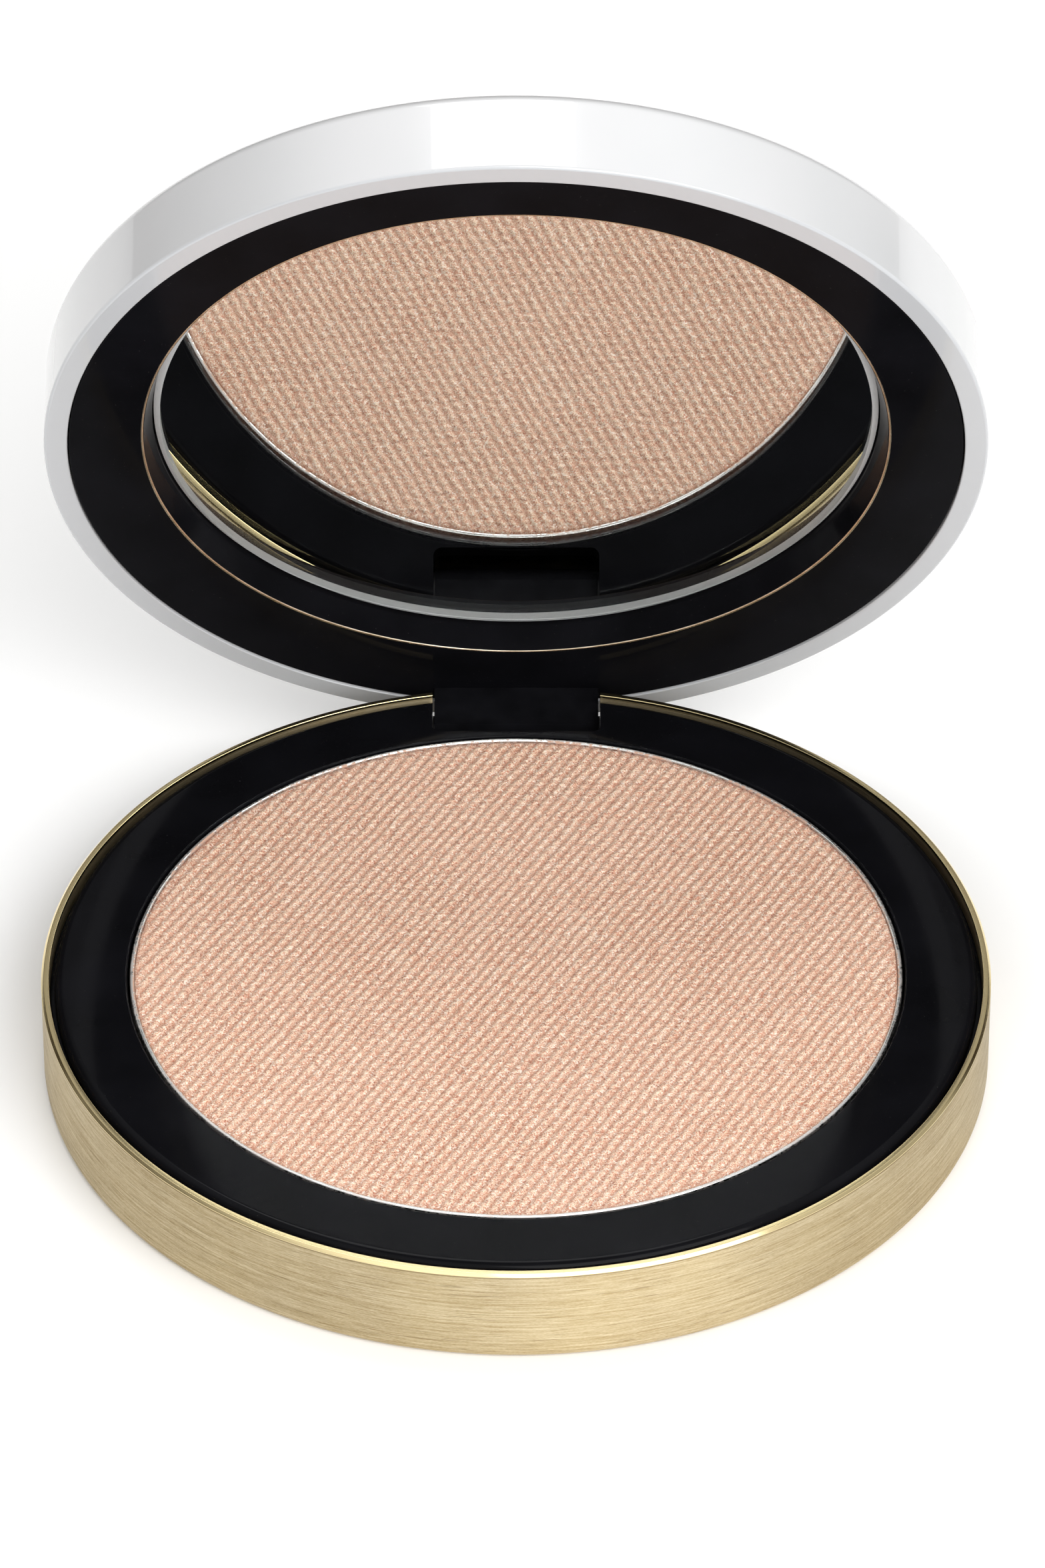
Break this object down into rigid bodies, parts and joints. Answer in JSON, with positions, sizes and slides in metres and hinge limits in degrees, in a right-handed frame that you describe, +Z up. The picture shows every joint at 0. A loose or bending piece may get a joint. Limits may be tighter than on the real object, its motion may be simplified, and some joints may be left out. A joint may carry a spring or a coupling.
{
  "type": "powder compact",
  "caption": "Round pressed-powder compact: brushed gold base with a glossy black tray and powder pan, and a white lacquered lid with a mirror, opening on a rear hinge.",
  "frame": {"origin": "centre of the base's flat underside, on the surface that the compact stands on", "axes": "+Z up, out of the base; +Y towards the hinge at the back; -Y is the front, where the lid is lifted; +X to the right seen from the front"},
  "size_m": [0.074, 0.0832, 0.075],
  "materials": {
    "gold_aluminium": "brushed round its wall and anodised champagne gold, polished lip",
    "label_film": "plain matt film, blank",
    "gloss_black": "high gloss black moulding",
    "adhesive": "translucent adhesive or foam tape",
    "plain_steel": "zinc-plated sheet, hidden",
    "pan_aluminium": "bright pressed aluminium",
    "pressed_powder": "peach powder with a fine shimmer, pressed with a slanting twill of ribs",
    "magnet_nickel": "nickel-plated",
    "polished_steel": "polished stainless",
    "acetal": "dark self-lubricating plastic",
    "white_lacquer": "white high gloss lacquer",
    "mirror_glass": "clear, with a ground bevel",
    "silvering": "silvered back of the glass"
  },
  "bodies": {
    "base": {"base_shell": "gold_aluminium", "base_label": "label_film", "base_tray": "gloss_black", "tray_bond": "adhesive", "ballast_tape": "adhesive", "ballast_plate": "plain_steel", "pan_tape": "adhesive", "pan": "pan_aluminium", "powder_cake": "pressed_powder", "base_magnets": "magnet_nickel", "hinge_pin": "polished_steel", "hinge_washers": "acetal"},
    "lid": {"lid_shell": "white_lacquer", "lid_frame": "gloss_black", "lid_bond": "adhesive", "lid_weight_tape": "adhesive", "lid_weight": "plain_steel", "hinge_lug": "gloss_black", "hinge_bush": "acetal", "lug_screws": "polished_steel", "mirror_glass": "mirror_glass", "mirror_silvering": "silvering", "mirror_tape": "adhesive", "lid_magnets": "magnet_nickel"}
  },
  "joints": [
    {"name": "lid_hinge", "type": "hinge", "parent": "base", "child": "lid", "pos_m": [0, 0.0344, 0.0041], "axis": [-1, 0, 0], "range_deg": [-70.4, 19.6]}
  ]
}
